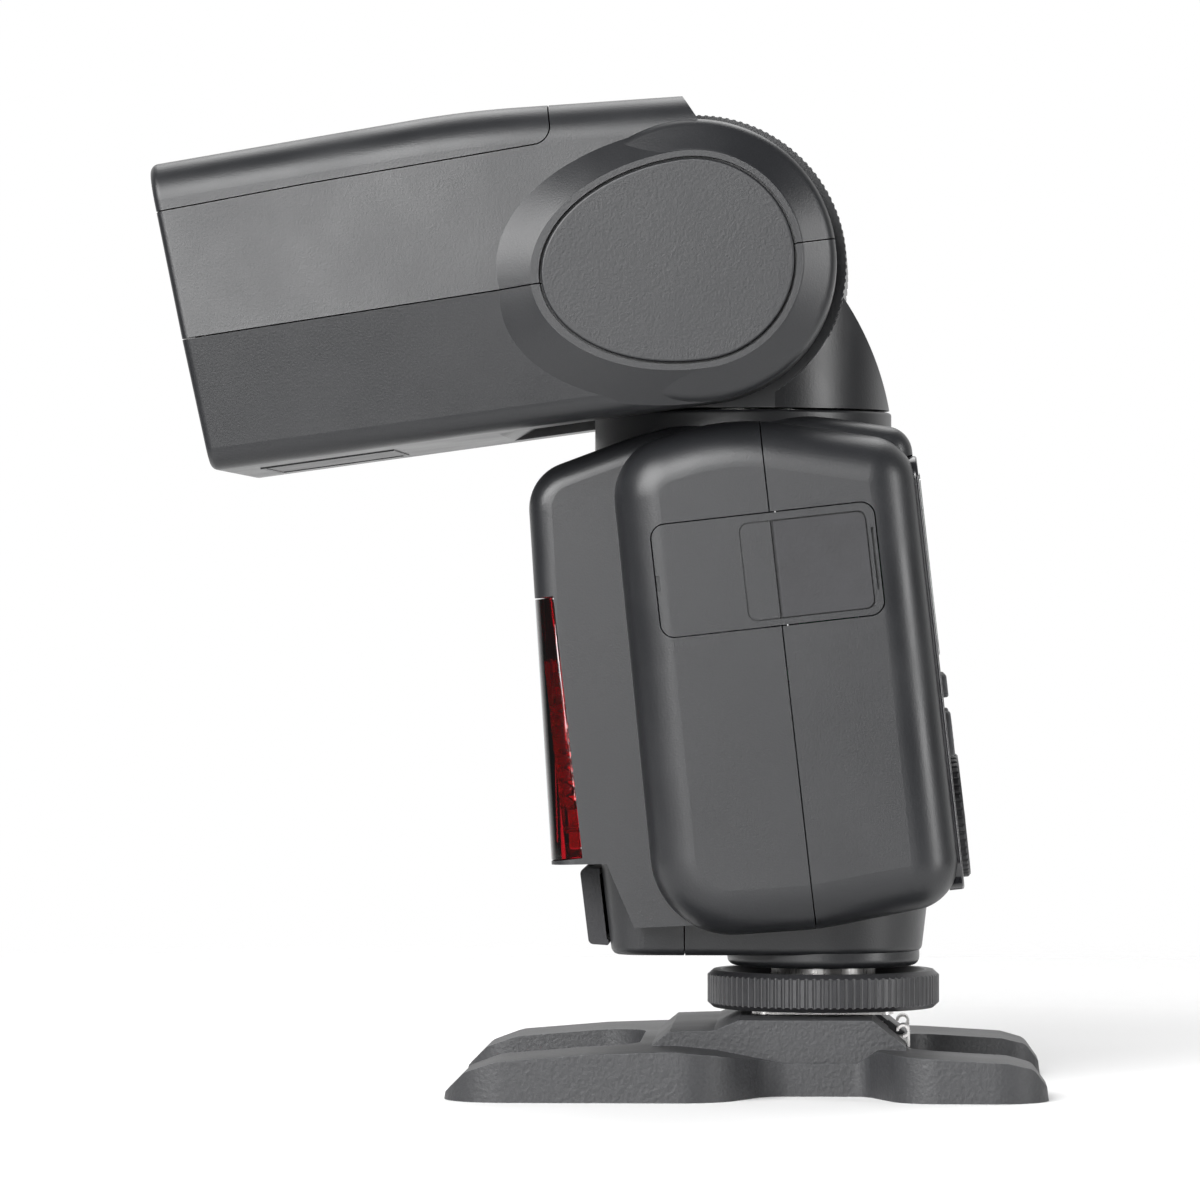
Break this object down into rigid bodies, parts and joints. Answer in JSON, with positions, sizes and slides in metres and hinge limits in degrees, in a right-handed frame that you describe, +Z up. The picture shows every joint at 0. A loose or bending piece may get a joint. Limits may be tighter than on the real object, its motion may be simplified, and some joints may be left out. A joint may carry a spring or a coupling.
{
  "type": "speedlight flash",
  "caption": "Shoe-mount speedlight flash with a tilting, swivelling zoom head and a red focus-assist window, held by its lock ring in a low four-footed mini stand.",
  "frame": {"origin": "centre of the tripod thread's mouth under the stand, on the surface it stands on, below the middle of the lock ring", "axes": "+Z up; the flash faces -Y; +X is the viewer's left seen from behind"},
  "size_m": [0.0764, 0.1309, 0.1461],
  "materials": {
    "casing_black": "fine matte texture",
    "cap_black": "fine matte texture",
    "stand_black": "coarser matte texture",
    "ring_black": "satin",
    "panel_black": "gloss",
    "key_grey": "matte",
    "rubber_black": "matte",
    "window_red": "gloss, deep red",
    "lens_clear": "ribbed, clear",
    "display_glass": "gloss",
    "display_grey": "satin",
    "lamp_red": "gloss",
    "bright_metal": "brushed",
    "mirror_metal": "polished",
    "brass": "machined",
    "board_green": "gloss",
    "cell_wrap": "gloss",
    "card_white": "matte",
    "inner_black": "matte"
  },
  "bodies": {
    "stand": {"stand_base": "stand_black", "thread_insert": "brass", "shoe_spring_plate": "bright_metal"},
    "flash_body": {"front_shell": "casing_black", "rear_shell": "casing_black", "swivel_base": "casing_black", "foot_block_front": "casing_black", "foot_block_rear": "casing_black", "hot_shoe_foot": "bright_metal", "shoe_contacts": "brass", "af_window": "window_red", "af_lamp_module": "lamp_red", "power_socket": "inner_black", "side_cover": "casing_black", "sync_jack": "inner_black", "data_socket": "inner_black", "rear_panel": "panel_black", "display_window": "display_glass", "display_module": "display_grey", "control_board": "board_green", "power_board": "board_green", "flash_capacitor": "cell_wrap", "battery_tray": "inner_black", "cells": "cell_wrap", "battery_contacts": "brass", "battery_door_pin": "bright_metal", "case_screws": "bright_metal"},
    "clamp_plate": {"clamp_plate": "bright_metal"},
    "lock_ring": {"lock_ring": "ring_black"},
    "lock_pin": {"lock_pin": "bright_metal"},
    "battery_door": {"battery_door": "casing_black"},
    "port_flap": {"port_flap": "rubber_black"},
    "socket_cap": {"socket_cap": "rubber_black"},
    "select_dial": {"select_dial": "ring_black"},
    "set_button": {"set_button": "key_grey"},
    "mode_button": {"mode_button": "key_grey"},
    "test_button": {"test_button": "key_grey"},
    "power_switch": {"power_switch": "key_grey"},
    "neck": {"neck_shell": "casing_black", "swivel_tube": "bright_metal", "swivel_retainer": "bright_metal", "tilt_axles": "bright_metal"},
    "head": {"head_upper_shell": "casing_black", "head_lower_shell": "casing_black", "head_top_cover": "casing_black", "pivot_cap_left": "cap_black", "pivot_cap_right": "cap_black", "fresnel_lens": "lens_clear", "guide_rods": "bright_metal", "zoom_motor": "bright_metal", "lead_screw": "bright_metal"},
    "zoom_carriage": {"zoom_carriage": "inner_black", "reflector": "mirror_metal", "flash_tube": "lens_clear"},
    "wide_panel": {"wide_panel": "lens_clear"},
    "bounce_card": {"bounce_card": "card_white"},
    "soft_key_1": {"soft_key_1": "key_grey"},
    "soft_key_2": {"soft_key_2": "key_grey"},
    "soft_key_3": {"soft_key_3": "key_grey"},
    "soft_key_4": {"soft_key_4": "key_grey"}
  },
  "joints": [
    {"name": "shoe_slide", "type": "slide", "parent": "stand", "child": "flash_body", "axis": [0, 1, 0], "range_m": [0, 0.03]},
    {"name": "clamp_lift", "type": "slide", "parent": "flash_body", "child": "clamp_plate", "axis": [0, 0, 1], "range_m": [0, 0.00045]},
    {"name": "ring_turn", "type": "hinge", "parent": "clamp_plate", "child": "lock_ring", "pos_m": [0, 0, 0.0146], "axis": [0, 0, 1], "range_deg": [0, 120]},
    {"name": "pin_lift", "type": "slide", "parent": "flash_body", "child": "lock_pin", "axis": [0, 0, 1], "range_m": [0, 0.001]},
    {"name": "swivel", "type": "hinge", "parent": "flash_body", "child": "neck", "pos_m": [0, -0.012, 0.101], "axis": [0, 0, 1], "range_deg": [-180, 180]},
    {"name": "tilt", "type": "hinge", "parent": "neck", "child": "head", "pos_m": [0, -0.0184, 0.1219], "axis": [-1, 0, 0], "range_deg": [0, 97]},
    {"name": "zoom_slide", "type": "slide", "parent": "head", "child": "zoom_carriage", "axis": [0, -0.9885, -0.1513], "range_m": [0, 0.02]},
    {"name": "panel_slide", "type": "slide", "parent": "head", "child": "wide_panel", "axis": [0, -0.9885, -0.1513], "range_m": [0, 0.045]},
    {"name": "card_slide", "type": "slide", "parent": "head", "child": "bounce_card", "axis": [0, -0.9885, -0.1513], "range_m": [0, 0.045]},
    {"name": "door_hinge", "type": "hinge", "parent": "flash_body", "child": "battery_door", "pos_m": [-0.0293, 0.00801, 0.04697], "axis": [0, 0.1115, -0.9938], "range_deg": [0, 90]},
    {"name": "flap_hinge", "type": "hinge", "parent": "flash_body", "child": "port_flap", "pos_m": [0.02948, -0.00602, 0.0772], "axis": [0, 0.1115, -0.9938], "range_deg": [0, 100]},
    {"name": "cap_hinge", "type": "hinge", "parent": "flash_body", "child": "socket_cap", "pos_m": [0, -0.0323, 0.0214], "axis": [1, 0, 0], "range_deg": [0, 100]},
    {"name": "dial_turn", "type": "hinge", "parent": "flash_body", "child": "select_dial", "pos_m": [0, 0.01961, 0.04043], "axis": [0, 0.9938, 0.1115], "continuous": true},
    {"name": "set_press", "type": "slide", "parent": "flash_body", "child": "set_button", "axis": [0, -0.9938, -0.1115], "range_m": [0, 0.0006], "stiffness_N_per_m": 400, "springref_m": -0.0004},
    {"name": "mode_press", "type": "slide", "parent": "flash_body", "child": "mode_button", "axis": [0, -0.9938, -0.1115], "range_m": [0, 0.0006], "stiffness_N_per_m": 400, "springref_m": -0.0004},
    {"name": "test_press", "type": "slide", "parent": "flash_body", "child": "test_button", "axis": [0, -0.9938, -0.1115], "range_m": [0, 0.0006], "stiffness_N_per_m": 400, "springref_m": -0.0004},
    {"name": "key_1_press", "type": "slide", "parent": "flash_body", "child": "soft_key_1", "axis": [0, -0.9938, -0.1115], "range_m": [0, 0.0006], "stiffness_N_per_m": 400, "springref_m": -0.0004},
    {"name": "key_2_press", "type": "slide", "parent": "flash_body", "child": "soft_key_2", "axis": [0, -0.9938, -0.1115], "range_m": [0, 0.0006], "stiffness_N_per_m": 400, "springref_m": -0.0004},
    {"name": "key_3_press", "type": "slide", "parent": "flash_body", "child": "soft_key_3", "axis": [0, -0.9938, -0.1115], "range_m": [0, 0.0006], "stiffness_N_per_m": 400, "springref_m": -0.0004},
    {"name": "key_4_press", "type": "slide", "parent": "flash_body", "child": "soft_key_4", "axis": [0, -0.9938, -0.1115], "range_m": [0, 0.0006], "stiffness_N_per_m": 400, "springref_m": -0.0004},
    {"name": "switch_slide", "type": "slide", "parent": "flash_body", "child": "power_switch", "axis": [-1, 0, 0], "range_m": [0, 0.003]}
  ],
  "couplings": [
    {"joint": "clamp_lift", "follows": "ring_turn", "m_per_rad": 0.00021486},
    {"joint": "pin_lift", "follows": "ring_turn", "m_per_rad": 0.00047746}
  ]
}
